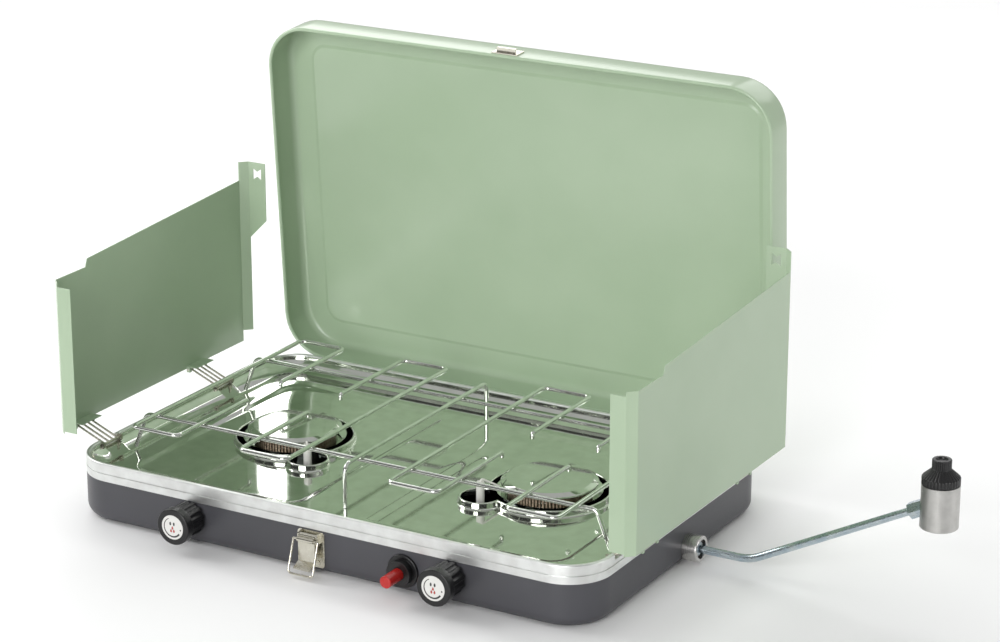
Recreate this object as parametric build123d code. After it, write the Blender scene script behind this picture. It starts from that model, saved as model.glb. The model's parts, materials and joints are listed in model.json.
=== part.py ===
from build123d import *
import os
from math import atan2, cos, degrees, hypot, radians, sin, tan

# Two-burner camping stove, millimetres. The base stands on z = 0, centred on x = 0 and y = 0.
# X runs along the front, Y to the back, Z up. The front, with the knobs, faces -Y.

# --- overall sizes ---
body_length = 530.0          # along X
body_depth = 341.0           # along Y
case_height = 40.0           # painted bottom case, from the ground to the rim band
rim_height = 57.0            # top of the bright rim band
corner_radius = 40.0
sheet = 1.0                  # pressed steel sheet
front_face = -body_depth / 2
rear_face = body_depth / 2
side_face = body_length / 2

# --- bottom case and rim ---
case_floor_fillet = 11.0
rim_width = 4.0              # wall of the rim band, seen from above
rim_groove_height = 1.2
rim_groove_depth = 0.8
rim_groove_z = 46.8
rim_edge_fillet = 1.4

# --- drip tray ---
tray_floor_top = 43.0
tray_slope = 12.0            # how far the sloping wall leans in
tray_lip_bottom = 52.0
tray_lip_top = 55.6
collar_height = 4.0          # raised edge round each burner opening
collar_wall = 3.0

# --- burners ---
burner_x = 134.5
burner_opening_radius = 53.0
burner_cup_radius = 38.0
burner_cup_bottom = 16.0
burner_cup_wall = 1.5
burner_plate_radius = 47.5
burner_plate_top = 46.5
port_ring_radius = 37.0
port_ring_wall = 2.0
port_ring_top = 52.5
port_count = 20
port_width = 2.0
port_margin = 1.5            # ring left above and below each port
cap_radius = 43.5
cap_flat_radius = 38.5
cap_edge_height = 2.0
cap_top = 57.0
cap_wall = 2.0
support_width = 30.0
support_length = 50.0
support_sheet = 1.5
support_foot = 10.0

# --- electrodes ---
electrode_out = 44.0         # from the burner axis towards the middle of the stove
electrode_front = 46.0       # from the burner axis towards the front
electrode_radius = 3.75
electrode_chamfer = 0.8
electrode_tip = 3.0          # spark wire above the ceramic
electrode_bottom = 24.0
electrode_top = 60.0
electrode_hole_radius = 17.0
spark_wire_radius = 0.9
spark_bend = 2.0
spark_gap = 3.0
bracket_z = 30.0
bracket_width = 12.0
bracket_sheet = 1.2
bracket_margin = 3.0         # beyond the ceramic

# --- gas line inside the case ---
gas_line_z = 26.0            # valves, jets and mixing tubes
manifold_radius = 4.0
manifold_bore = 3.0
manifold_y = front_face + 50.5
manifold_x = side_face - 37.0
manifold_bend = 12.0
valve_width = 16.0
valve_front = rear_face - 20.5  # distance of the block's front face from the middle
valve_rear = rear_face - 66.5
valve_collar_radius = 6.5
jet_radius = 2.5
jet_length = 8.0
stem_radius = 3.0
stem_clearance = 0.05
stem_inner_end = rear_face - 29.5
stem_hole_radius = 4.0       # in the case
mixing_tube_radius = 7.0
mixing_tube_wall = 1.0
mixing_mouth = rear_face - 70.5
mixing_bell_radius = 12.0
mixing_bell_length = 9.0

# --- knobs ---
left_knob_x = -130.0
right_knob_x = 135.0
knob_z = 26.0
knob_radius = 16.5
knob_grip_radius = 15.2
knob_ring_length = 9.0
knob_length = 26.5
knob_gap = 3.0               # between the knob and the case
knob_flute_radius = 3.0
knob_flutes = 12
knob_flute_out = 1.6         # flute centres outside the grip
knob_edge = 1.2
knob_bore_depth = 17.0
dial_radius = 11.2
dial_thickness = 1.0
dial_proud = 0.2

# --- piezo igniter ---
igniter_x = 88.0
igniter_z = 21.0
bezel_radius = 15.0
bezel_flange = 2.5
bezel_collar_radius = 11.5
bezel_collar_length = 7.0
bezel_neck_radius = 8.0
bezel_neck_length = 10.5
button_radius = 5.5
button_clearance = 0.3
igniter_edge = 1.0
button_reach = 20.0          # out of the collar
button_inside = 22.0         # behind the front of the case
igniter_body_radius = 10.0
igniter_body_length = 43.5
igniter_bore_depth = 24.0
lead_radius = 1.2
lead_drop = 8.0              # terminals sit this far below the igniter axis
lead_bend = 8.0
lead_turn_y = -96.0
left_lead_offset = -4.0

# --- gas inlet and supply pipe ---
inlet_y = 11.0
inlet_z = 14.5
inlet_radius = 12.0
inlet_reach = 14.0
inlet_recess_radius = 8.5
inlet_recess_depth = 8.0
inlet_neck_radius = 8.0
inlet_neck_length = 13.0
inlet_edge = 1.2
pipe_radius = 3.5
pipe_bore = 2.4
pipe_clearance = 0.05
pipe_inside = 8.0            # length of pipe held in the inlet, inside the case wall
pipe_corner_x = side_face + 60.0
pipe_rise = 27.3             # degrees
pipe_bend = 45.0
pipe_ring_radius = 6.2
pipe_ring_length = 5.0
pipe_ring_gap = 0.6
pipe_end_wall = 1.4          # left between the pipe's end and the cylinder thread
nut_across_flats = 13.0
nut_length = 9.0

# --- regulator ---
regulator_x = side_face + 230.0
regulator_radius = 16.25
regulator_bottom = 80.0
regulator_top = 118.0
thread_radius = 12.3         # 1 inch cylinder thread
thread_depth = 14.0
seat_radius = 12.0           # smaller bore above the thread, for the seal and the opener pin
seat_depth = 3.0
seal_ring_radius = 10.6
seal_section = 1.3
opener_radius = 1.5
regulator_skirt = 7.0
regulator_cone = 6.0
regulator_knob_radius = 8.3
regulator_knob_height = 9.0
regulator_edge = 0.8
cap_edge = 1.0
cap_grooves = 16
cap_groove_radius = 1.0
cap_groove_out = 0.4         # groove centres outside the skirt

# --- lid ---
lid_depth = body_depth - 2.0
lid_height = 37.0
lid_corner_radius = 43.0
lid_edge_fillet = 8.0
lid_seat_gap = 0.3           # between the closed lid and the rim
lid_open_angle = 86.0
hinge_x = 80.0
hinge_y = rear_face + 1.0
hinge_z = 46.5
hinge_width = 24.0
hinge_sheet = 0.8
hinge_pin_radius = 1.25
hinge_pin_clearance = 0.05
hinge_barrel_radius = 2.4
hinge_gap = 0.3
hinge_pin_head = 1.0
lid_leaf_top = 72.0
lid_leaf_rise = 2.0          # of the wide part above the lid's rim
base_leaf_bottom = 27.0
rivet_head_radius = 2.6
rivet_head = 0.8
rivet_inset = 4.0            # from the end of a strap

# --- side screens and their wire links ---
screen_sheet = 0.8
screen_x = side_face + 28.0  # middle of the sheet
screen_front = front_face + 29.5
screen_rear = rear_face - 23.5
screen_bend = 7.0            # the corner strips run this far in x and in y
link_outer_z = 66.0
screen_bottom = link_outer_z + 1.0
screen_front_top = 210.0
screen_step_y = -94.5
screen_step_run = 3.0
screen_step_top = 217.5
screen_rear_top = 231.0
flange_end_x = screen_x - 21.5
flange_bottom = screen_bottom + 2.0
flange_top = 206.0
rear_strip_bottom = screen_bottom + 11.0
rear_strip_top = 249.5
tab_end_x = screen_x - 26.3
tab_bottom = 192.0
tab_chamfer = 19.3
tab_hole_x = screen_x - 17.0
tab_hole_z = 238.0
tab_hole_width = 9.0
tab_hole_height = 11.0
tab_hole_waist = 5.0
link_inner_x = side_face - 5.0
link_inner_z = 53.5
link_outer_x = side_face + 26.0
link_wire_radius = 1.2
link_leg_radius = 1.0
link_clearance = 0.05
link_front_y = -113.0
link_rear_y = 65.0
link_half_width = 14.3
link_leg_pitch = 6.3
link_legs = 4
link_side_gap = 0.5
knuckle_length = 3.0
knuckle_radius = 2.3
knuckle_inset = 0.1
slot_floor = 51.2
tongue_length = 11.6
tongue_z = link_outer_z + 3.0  # --- pan grate ---
grate_wire_radius = 2.0
grate_z = 83.0               # middle of the wires that carry the pans
pan_wire_end_y = 137.0
outer_wire_x = 217.0
outer_finger_x = 168.0
inner_finger_x = 101.5
inner_wire_x = 52.0
finger_tip_y = 27.0
finger_hook = 5.0
finger_bend = 3.0
wire_bend = 6.0
centre_wire_x = -1.0
centre_wire_y = 122.0
centre_wire_bend = 8.0
front_rail_y = -95.0
rear_rail_y = 81.0
rail_knee_x = side_face - 33.0
rail_end_x = side_face - 19.5
rail_bend = 8.0
grate_foot_gap = 0.3

# --- draw latch ---
latch_x = -4.5
latch_width = 27.0
latch_sheet = 1.2
latch_bottom = 6.0
latch_top = 39.0
latch_rivet_rise = 4.0
latch_corner = 3.0
ear_reach = 7.5
ear_bottom = 29.0
ear_top = 38.2
ear_fillet = 2.0
ear_inset = 3.6              # from the plate's side to the outside of the ear
lever_pivot_y = front_face - 5.0
lever_pivot_z = 35.0
latch_pin_radius = 1.25
latch_clearance = 0.05
lever_barrel_radius = 2.5
lever_side_gap = 0.4
lever_bottom = 13.0
lever_lip = 9.0
bail_pivot_y = front_face - 9.5
bail_pivot_z = 33.0
bail_wire_radius = 1.0
bail_barrel_radius = 2.1
bail_width = 25.0
bail_end_y = front_face - 19.0
bail_end_z = 4.0
bail_bend = 3.0
keeper_height = 14.0
keeper_bottom = 59.5
keeper_hook = 5.0
keeper_lip = 4.0

tray_inset = rim_width
electrode_x = burner_x - electrode_out
lid_rim = rim_height + lid_seat_gap


def plan(length, depth, radius, z):
    """A rounded rectangle in plan, at height z."""
    return Pos(0, 0, z) * RectangleRounded(length, depth, radius)


def body_plan(inset, z):
    """The stove's own outline in plan, moved in by inset."""
    return plan(body_length - 2 * inset, body_depth - 2 * inset, corner_radius - inset, z)


def prism(outline, top):
    """A flat outline raised to the height top."""
    return extrude(outline, top - outline.bounding_box().min.Z)


def cuboid(low, high):
    """A box from its lowest corner to its highest."""
    size = [b - a for a, b in zip(low, high)]
    middle = [(a + b) / 2 for a, b in zip(low, high)]
    return Pos(*middle) * Box(*size)


def rod(start, end, radius):
    """A round bar between two points."""
    a = Vector(*start)
    b = Vector(*end)
    frame = Plane(origin=a, z_dir=b - a)
    return extrude(frame * Circle(radius), (b - a).length)


def bent_rod(points, bend, radius):
    """A round bar along straight runs joined by bends of one radius."""
    path = FilletPolyline(*points, radius=bend)
    start = Plane(origin=path @ 0, z_dir=path % 0)
    return sweep(start * Circle(radius), path)


def turned(points, x=0.0, y=0.0):
    """A solid of revolution about a vertical axis, from (radius, height) points."""
    profile = make_face(Polyline(*[(r, 0, z) for r, z in points], close=True))
    return Pos(x, y, 0) * revolve(profile, Axis.Z)


def save(name, *shapes):
    """Write one node, as one solid or as a group of separate solids."""
    solids = [s for shape in shapes for s in shape.solids()]
    part = solids[0] if len(solids) == 1 else Compound(children=solids)
    part.label = name
    export_step(part, f"parts/{name}.step")


def mirrored(shape):
    """The same part on the other side of the stove."""
    return mirror(shape, Plane.YZ)


def link_slots(side):
    """The cuts that let the wire links and their brackets into the rim and the tray."""
    cuts = []
    inner = link_inner_x - knuckle_radius - link_side_gap
    bracket_out = link_inner_x + knuckle_radius
    leg_half = link_half_width - knuckle_length - link_side_gap / 2
    for y in (link_front_y, link_rear_y):
        outside = (side_face + 1, y + leg_half, rim_height + 1)
        cuts.append(cuboid((inner, y - leg_half, slot_floor), outside))
        half = link_half_width + knuckle_inset
        cuts.append(cuboid((inner, y - half, slot_floor), (bracket_out, y + half, rim_height + 1)))
    both = Compound(children=cuts)
    return both if side > 0 else mirrored(both)


def bottom_case():
    """Pressed tray with a rounded bottom edge, open at the top."""
    outer = prism(body_plan(0, 0), case_height)
    outer = fillet(outer.faces().sort_by(Axis.Z)[0].edges(), case_floor_fillet)
    inner = prism(body_plan(sheet, sheet), case_height + 1)
    inner = fillet(inner.faces().sort_by(Axis.Z)[0].edges(), case_floor_fillet - sheet)
    case = outer - inner
    for x in (left_knob_x, right_knob_x):
        case -= rod((x, front_face - 1, knob_z), (x, front_face + 5, knob_z), stem_hole_radius)
    igniter = (igniter_x, front_face - 1, igniter_z)
    case -= rod(igniter, (igniter_x, front_face + 5, igniter_z), bezel_neck_radius)
    inlet = (side_face - case_floor_fillet, inlet_y, inlet_z)
    return case - rod(inlet, (side_face + 1, inlet_y, inlet_z), inlet_neck_radius)


def rim_trim():
    """Bright band round the top of the case, with one groove and slots for the links and hinges."""
    ring = prism(body_plan(0, case_height), rim_height)
    ring -= prism(body_plan(rim_width, case_height), rim_height)
    ring = fillet(ring.faces().sort_by(Axis.Z)[-1].edges(), rim_edge_fillet)
    groove = prism(body_plan(-1, rim_groove_z), rim_groove_z + rim_groove_height)
    groove -= prism(body_plan(rim_groove_depth, rim_groove_z), rim_groove_z + rim_groove_height)
    ring -= groove
    for side in (-1, 1):
        ring -= link_slots(side)
        x = side * hinge_x
        half = hinge_width / 2 + hinge_pin_head + hinge_gap
        reach = hinge_barrel_radius + hinge_gap
        low = (x - half, hinge_y - reach, hinge_z - reach)
        ring -= cuboid(low, (x + half, rear_face + 1, rim_height + 1))
    return ring


def tray_opening(side, wall, bottom, top):
    """The keyhole over a burner: a round opening with a smaller one for the electrode."""
    main = Pos(side * burner_x, 0, bottom) * Circle(burner_opening_radius + wall)
    small = Pos(side * electrode_x, -electrode_front, bottom) * Circle(electrode_hole_radius + wall)
    return extrude(main + small, top - bottom)


def drip_tray():
    """Shallow pan with sloping walls that sits inside the rim band."""
    slope_end = tray_inset + tray_slope
    low = tray_floor_top - sheet
    outer = loft([body_plan(slope_end, low), body_plan(tray_inset, tray_lip_bottom)])
    outer += prism(body_plan(tray_inset, tray_lip_bottom), tray_lip_top)
    lip = body_plan(tray_inset + sheet, tray_lip_bottom)
    inner = loft([body_plan(slope_end + sheet, tray_floor_top), lip])
    inner += prism(lip, tray_lip_top + 1)
    tray = outer - inner
    for side in (-1, 1):
        tray += tray_opening(side, collar_wall, low, tray_floor_top + collar_height)
        tray -= tray_opening(side, 0, low - 1, tray_floor_top + collar_height + 1)
        tray -= link_slots(side)
    return tray


def burner_bowl(side):
    """Turned cup with the lower plate and the ring that carries the ports."""
    cup_in = burner_cup_radius - burner_cup_wall
    ring_in = port_ring_radius - port_ring_wall
    plate_low = burner_plate_top - burner_cup_wall
    floor = burner_cup_bottom + burner_cup_wall
    profile = [
        (0, burner_cup_bottom), (burner_cup_radius, burner_cup_bottom), (burner_cup_radius, plate_low),
        (burner_plate_radius, plate_low), (burner_plate_radius, burner_plate_top),
        (port_ring_radius, burner_plate_top), (port_ring_radius, port_ring_top), (ring_in, port_ring_top),
        (ring_in, plate_low), (cup_in, plate_low), (cup_in, floor), (0, floor),
    ]
    bowl = turned(profile, side * burner_x)
    low = (ring_in - 1, -port_width / 2, burner_plate_top + port_margin)
    high = (port_ring_radius + 1, port_width / 2, port_ring_top - port_margin)
    for n in range(port_count):
        bowl -= Pos(side * burner_x, 0, 0) * Rot(0, 0, 360 / port_count * n) * cuboid(low, high)
    mouth = (side * burner_x, -burner_cup_radius - 5, gas_line_z)
    return bowl - rod(mouth, (side * burner_x, 0, gas_line_z), mixing_tube_radius)


def burner_cap(side):
    """Polished lid of the burner, hollow underneath, with a bevelled edge."""
    ring_in = port_ring_radius - port_ring_wall
    profile = [
        (0, cap_top), (cap_flat_radius, cap_top), (cap_radius, port_ring_top + cap_edge_height),
        (cap_radius, port_ring_top), (ring_in, port_ring_top),
        (ring_in, cap_top - cap_wall), (0, cap_top - cap_wall),
    ]
    return turned(profile, side * burner_x)


def burner_support(side):
    """Bent strip that carries a burner on the floor of the case."""
    half = support_width / 2
    reach = support_length / 2
    top = burner_cup_bottom
    shape = cuboid((-reach, -half, top - support_sheet), (reach, half, top))
    for way in (-1, 1):
        x_out = way * reach
        x_in = way * (reach - support_sheet)
        x_foot = way * (reach + support_foot)
        shape += cuboid((min(x_out, x_in), -half, sheet), (max(x_out, x_in), half, top))
        shape += cuboid((min(x_in, x_foot), -half, sheet), (max(x_in, x_foot), half, sheet + support_sheet))
    return Pos(side * burner_x, 0, 0) * shape


def electrode(side):
    """Ceramic rod with a spark wire that bends towards the burner."""
    x = side * electrode_x
    y = -electrode_front
    rod_part = rod((x, y, electrode_bottom), (x, y, electrode_top), electrode_radius)
    rod_part = chamfer(rod_part.faces().sort_by(Axis.Z)[-1].edges(), electrode_chamfer)
    away = hypot(electrode_out, electrode_front)
    travel = away - cap_radius - spark_gap
    ux = side * electrode_out / away
    uy = electrode_front / away
    points = [
        (x, y, electrode_top - 2), (x, y, electrode_top + electrode_tip),
        (x + ux * travel, y + uy * travel, port_ring_top + 1),
    ]
    return rod_part + bent_rod(points, spark_bend, spark_wire_radius)


def electrode_bracket(side):
    """Flat arm from the burner cup to the electrode."""
    away = hypot(electrode_out, electrode_front)
    arm = cuboid((burner_cup_radius - 2, -bracket_width / 2, bracket_z),
                 (away + electrode_radius + bracket_margin, bracket_width / 2, bracket_z + bracket_sheet))
    angle = degrees(atan2(-electrode_front, -side * electrode_out))
    arm = Pos(side * burner_x, 0, 0) * Rot(0, 0, angle) * arm
    tall = 4 * bracket_sheet
    cup = Pos(side * burner_x, 0, bracket_z) * Cylinder(burner_cup_radius, tall)
    ceramic = Pos(side * electrode_x, -electrode_front, bracket_z) * Cylinder(electrode_radius, tall)
    return arm - cup - ceramic


def mixing_tube(side):
    """Air and gas mixing tube from the jet to the burner cup, with a belled mouth."""
    x = side * burner_x
    z = gas_line_z
    mouth = -mixing_mouth
    neck = mouth + mixing_bell_length
    end = -burner_cup_radius + burner_cup_wall
    outer = rod((x, neck, z), (x, end, z), mixing_tube_radius)
    inner = rod((x, neck, z), (x, end, z), mixing_tube_radius - mixing_tube_wall)
    front = Plane(origin=(x, mouth, z), z_dir=(0, 1, 0))
    back = Plane(origin=(x, neck, z), z_dir=(0, 1, 0))
    bell = loft([front * Circle(mixing_bell_radius), back * Circle(mixing_tube_radius)])
    hollow = loft([front * Circle(mixing_bell_radius - mixing_tube_wall),
                   back * Circle(mixing_tube_radius - mixing_tube_wall)])
    return (outer + bell) - inner - hollow


def valve(x):
    """Brass valve block on the manifold, with its jet and the collar behind the case wall."""
    z = gas_line_z
    half = valve_width / 2
    block = cuboid((x - half, -valve_front, z - half), (x + half, -valve_rear, z + half))
    block = fillet(block.edges().filter_by(Axis.Y), 2.0)
    block += rod((x, -valve_front, z), (x, front_face + sheet, z), valve_collar_radius)
    block += rod((x, -valve_rear, z), (x, -valve_rear + jet_length, z), jet_radius)
    block -= rod((x, front_face, z), (x, -stem_inner_end + stem_clearance, z), stem_radius + stem_clearance)
    return block - rod((x - half - 1, manifold_y, z), (x + half + 1, manifold_y, z), manifold_radius)


def gas_manifold():
    """Gas pipe inside the case, from the inlet to both valves."""
    start = side_face - inlet_neck_length
    end = left_knob_x - valve_width / 2 - 2
    points = [
        (start, inlet_y, inlet_z), (manifold_x, inlet_y, inlet_z),
        (manifold_x, manifold_y, gas_line_z), (end, manifold_y, gas_line_z),
    ]
    outer = bent_rod(points, manifold_bend, manifold_radius)
    points[-1] = (end + 2, manifold_y, gas_line_z)
    return outer - bent_rod(points, manifold_bend, manifold_bore)


def inlet_socket():
    """Bright ring on the side of the case that takes the supply pipe."""
    inner_end = side_face - inlet_neck_length
    outer_end = side_face + inlet_reach
    at = (inlet_y, inlet_z)
    socket = rod((side_face, *at), (outer_end, *at), inlet_radius)
    socket = fillet(socket.edges().filter_by(GeomType.CIRCLE).sort_by(Axis.X)[-1], inlet_edge)
    socket += rod((inner_end, *at), (side_face, *at), inlet_neck_radius)
    socket -= rod((outer_end - inlet_recess_depth, *at), (outer_end + 1, *at), inlet_recess_radius)
    socket -= rod((side_face - pipe_inside, *at), (outer_end, *at), pipe_radius + pipe_clearance)
    return socket - rod((inner_end - 1, *at), (side_face - pipe_inside, *at), manifold_bore)


def supply_line():
    """The corner points of the supply pipe's centre line."""
    end_x = regulator_x - thread_radius - pipe_end_wall
    end_z = inlet_z + (end_x - pipe_corner_x) * tan(radians(pipe_rise))
    start = side_face - pipe_inside + 1
    return [(start, inlet_y, inlet_z), (pipe_corner_x, inlet_y, inlet_z), (end_x, inlet_y, end_z)]


def supply_pipe():
    """Plated steel pipe, bent once, from the inlet up to the regulator."""
    points = supply_line()
    return bent_rod(points, pipe_bend, pipe_radius) - bent_rod(points, pipe_bend, pipe_bore)


def pipe_ring():
    """Stop ring on the pipe, inside the inlet's recess."""
    start = side_face + inlet_reach - inlet_recess_depth + pipe_ring_gap
    at = (inlet_y, inlet_z)
    ring = rod((start, *at), (start + pipe_ring_length, *at), pipe_ring_radius)
    return ring - rod((start, *at), (start + pipe_ring_length, *at), pipe_radius)


def regulator_cylinder(radius, low, high):
    """An upright cylinder on the regulator's axis."""
    return rod((regulator_x, inlet_y, low), (regulator_x, inlet_y, high), radius)


def regulator_body():
    """Aluminium body with the threaded socket for the gas cylinder underneath."""
    body = regulator_cylinder(regulator_radius, regulator_bottom, regulator_top)
    body = chamfer(body.faces().sort_by(Axis.Z)[0].edges(), regulator_edge)
    body -= regulator_cylinder(thread_radius, regulator_bottom - 1, regulator_bottom + thread_depth)
    seat = regulator_bottom + thread_depth
    body -= regulator_cylinder(seat_radius, seat, seat + seat_depth)
    body += regulator_cylinder(opener_radius, seat, seat + seat_depth)
    return body - bent_rod(supply_line(), pipe_bend, pipe_radius)


def pipe_nut():
    """Hexagon nut that holds the pipe to the regulator."""
    end = Vector(*supply_line()[-1])
    along = Vector(cos(radians(pipe_rise)), 0, sin(radians(pipe_rise)))
    reach = nut_length + regulator_radius - thread_radius
    front = end - along * reach
    flats = RegularPolygon(nut_across_flats / 2, 6, major_radius=False)
    nut = extrude(Plane(origin=front, x_dir=(0, 1, 0), z_dir=along) * flats, reach)
    nut -= rod(tuple(front - along), tuple(end + along * 2), pipe_radius)
    return nut - regulator_cylinder(regulator_radius, regulator_bottom, regulator_top)


def cylinder_seal():
    """Rubber ring in the seat above the cylinder thread."""
    z = regulator_bottom + thread_depth + seat_depth - seal_section
    return Pos(regulator_x, inlet_y, z) * Torus(seal_ring_radius, seal_section)


def regulator_cap():
    """Black plastic cap: a skirt, a cone and a round top."""
    z = regulator_top
    cone = z + regulator_skirt
    neck = cone + regulator_cone
    top = neck + regulator_knob_height
    profile = [
        (0, z), (regulator_radius, z), (regulator_radius, cone), (regulator_knob_radius, neck),
        (regulator_knob_radius, top - cap_edge), (regulator_knob_radius - cap_edge, top), (0, top),
    ]
    cap = turned(profile, regulator_x, inlet_y)
    groove = Pos(regulator_radius + cap_groove_out, 0, z) * Cylinder(cap_groove_radius, 4 * regulator_skirt)
    for n in range(cap_grooves):
        cap -= Pos(regulator_x, inlet_y, 0) * Rot(0, 0, 360 / cap_grooves * n) * groove
    return cap


def knob(x):
    """Moulded knob with a plain front ring and a fluted grip."""
    rear = front_face - knob_gap
    front = rear - knob_length
    ring_end = front + knob_ring_length
    z = knob_z
    grip = rod((x, rear, z), (x, ring_end, z), knob_grip_radius)
    for n in range(knob_flutes):
        angle = radians(360 / knob_flutes * n)
        away = knob_grip_radius + knob_flute_out
        cx = x + away * cos(angle)
        cz = z + away * sin(angle)
        grip -= rod((cx, rear + 1, cz), (cx, ring_end, cz), knob_flute_radius)
    ring = rod((x, ring_end, z), (x, front, z), knob_radius)
    ring = fillet(ring.edges().filter_by(GeomType.CIRCLE), knob_edge)
    part = grip + ring
    part -= rod((x, front - 1, z), (x, front + dial_thickness - dial_proud, z), dial_radius)
    return part - rod((x, rear + 1, z), (x, rear - knob_bore_depth, z), stem_radius)


def knob_dial(x):
    """White disc set into the front of the knob."""
    front = front_face - knob_gap - knob_length
    face = front - dial_proud
    return rod((x, face, knob_z), (x, face + dial_thickness, knob_z), dial_radius)


def valve_stem(x):
    """Turned stem from the valve to the knob."""
    end = front_face - knob_gap - knob_bore_depth
    return rod((x, -stem_inner_end, knob_z), (x, end, knob_z), stem_radius)


def igniter_bezel():
    """Black flange and collar round the igniter button, with a neck through the case."""
    y = front_face
    at = lambda depth: (igniter_x, depth, igniter_z)
    bezel = rod(at(y), at(y - bezel_flange), bezel_radius)
    bezel = fillet(bezel.edges().filter_by(GeomType.CIRCLE).sort_by(Axis.Y)[0], igniter_edge)
    collar_end = y - bezel_flange - bezel_collar_length
    bezel += rod(at(y - bezel_flange), at(collar_end), bezel_collar_radius)
    bezel += rod(at(y), at(y + bezel_neck_length), bezel_neck_radius)
    return bezel - rod(at(y + 20), at(y - 20), button_radius + button_clearance)


def igniter_body():
    """Piezo housing behind the front wall of the case."""
    at = lambda depth: (igniter_x, depth, igniter_z)
    start = front_face + sheet
    housing = rod(at(start), at(start + igniter_body_length), igniter_body_radius)
    neck_end = front_face + bezel_neck_length
    housing -= rod(at(start), at(neck_end), bezel_neck_radius)
    return housing - rod(at(start), at(neck_end + igniter_bore_depth), button_radius + button_clearance)


def igniter_button():
    """Red push button with its plunger."""
    at = lambda depth: (igniter_x, depth, igniter_z)
    tip = front_face - bezel_flange - bezel_collar_length - button_reach
    button = rod(at(front_face + button_inside), at(tip), button_radius)
    return fillet(button.edges().filter_by(GeomType.CIRCLE).sort_by(Axis.Y)[0], igniter_edge)


def ignition_leads():
    """Insulated leads from the piezo housing to both electrodes, clipped low in the case."""
    back = front_face + sheet + igniter_body_length
    z = igniter_z - lead_drop
    left_x = igniter_x + left_lead_offset
    left = [
        (left_x, back, z), (left_x, lead_turn_y, z), (-electrode_x, lead_turn_y, z),
        (-electrode_x, -electrode_front, z), (-electrode_x, -electrode_front, electrode_bottom),
    ]
    right = [
        (electrode_x, back, z), (electrode_x, -electrode_front, z),
        (electrode_x, -electrode_front, electrode_bottom),
    ]
    return [bent_rod(points, lead_bend, lead_radius) for points in (left, right)]


def opened(shape):
    """Turn a piece of the closed lid about the hinge axis to where it stands open."""
    hinge = Axis((0, hinge_y, hinge_z), (1, 0, 0))
    return shape.rotate(hinge, -lid_open_angle)


def lid_shell():
    """Pressed lid: a shallow tray with rounded corners and edges."""
    outer = prism(plan(body_length, lid_depth, lid_corner_radius, lid_rim), lid_rim + lid_height)
    outer = fillet(outer.faces().sort_by(Axis.Z)[-1].edges(), lid_edge_fillet)
    inner = plan(body_length - 2 * sheet, lid_depth - 2 * sheet, lid_corner_radius - sheet, lid_rim - 1)
    inner = prism(inner, lid_rim + lid_height - sheet)
    inner = fillet(inner.faces().sort_by(Axis.Z)[-1].edges(), lid_edge_fillet - sheet)
    return opened(outer - inner)


def hinge_barrel(x, first, last):
    """A length of hinge barrel bored for the pin; first and last are shares of the hinge's width."""
    low = x - hinge_width / 2 + hinge_width * first
    high = x - hinge_width / 2 + hinge_width * last
    at = (hinge_y, hinge_z)
    bore = rod((low - 1, *at), (high + 1, *at), hinge_pin_radius + hinge_pin_clearance)
    return rod((low, *at), (high, *at), hinge_barrel_radius), bore


def lid_leaf(side):
    """Hinge strap on the lid's rear wall, with the middle length of the barrel."""
    x = side * hinge_x
    share = hinge_gap / hinge_width
    barrel, bore = hinge_barrel(x, 1 / 3 + share, 2 / 3 - share)
    wall = lid_depth / 2
    third = hinge_width / 6 - hinge_gap
    outside = wall + hinge_sheet
    half = hinge_width / 2
    strap = cuboid((x - third, wall, hinge_z), (x + third, outside, lid_leaf_top))
    plate = cuboid((x - half, wall, lid_rim + lid_leaf_rise), (x + half, outside, lid_leaf_top))
    return opened(barrel + strap + plate - bore)


def base_leaf(side):
    """Hinge strap on the rear of the case, with both outer lengths of the barrel."""
    x = side * hinge_x
    half = hinge_width / 2
    leaf = cuboid((x - half, rear_face, base_leaf_bottom),
                  (x + half, rear_face + hinge_sheet, hinge_z - hinge_barrel_radius - hinge_gap))
    for first, last in ((0, 1 / 3), (2 / 3, 1)):
        barrel, bore = hinge_barrel(x, first, last)
        low = x - half + hinge_width * first
        high = x - half + hinge_width * last
        tail = cuboid((low, rear_face, base_leaf_bottom), (high, rear_face + hinge_sheet, hinge_z))
        leaf += barrel + tail - bore
    return leaf - rod((x - half - 1, hinge_y, hinge_z), (x + half + 1, hinge_y, hinge_z),
                      hinge_pin_radius + hinge_pin_clearance)


def hinge_pin(side):
    """Steel pin through the three lengths of the barrel."""
    x = side * hinge_x
    half = hinge_width / 2
    head = (x - half - hinge_pin_head, hinge_y, hinge_z)
    pin = rod(head, (x + half, hinge_y, hinge_z), hinge_pin_radius)
    return pin + rod(head, (x - half, hinge_y, hinge_z), hinge_barrel_radius)


def rivet_head_at(x, y, z, outward):
    """One rivet head on a strap; outward is +1 on the rear and -1 on the front."""
    return rod((x, y, z), (x, y + outward * rivet_head, z), rivet_head_radius)


def lid_rivets():
    """Rivet heads on the lid's hinge straps."""
    wall = lid_depth / 2 + hinge_sheet
    z = lid_leaf_top - rivet_inset
    return [opened(rivet_head_at(side * hinge_x + way * hinge_width / 3, wall, z, 1))
            for side in (-1, 1) for way in (-1, 1)]


def base_rivets():
    """Rivet heads on the base's hinge straps."""
    wall = rear_face + hinge_sheet
    return [rivet_head_at(side * hinge_x + way * hinge_width / 3, wall, base_leaf_bottom + rivet_inset, 1)
            for side in (-1, 1) for way in (-1, 1)]


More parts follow.
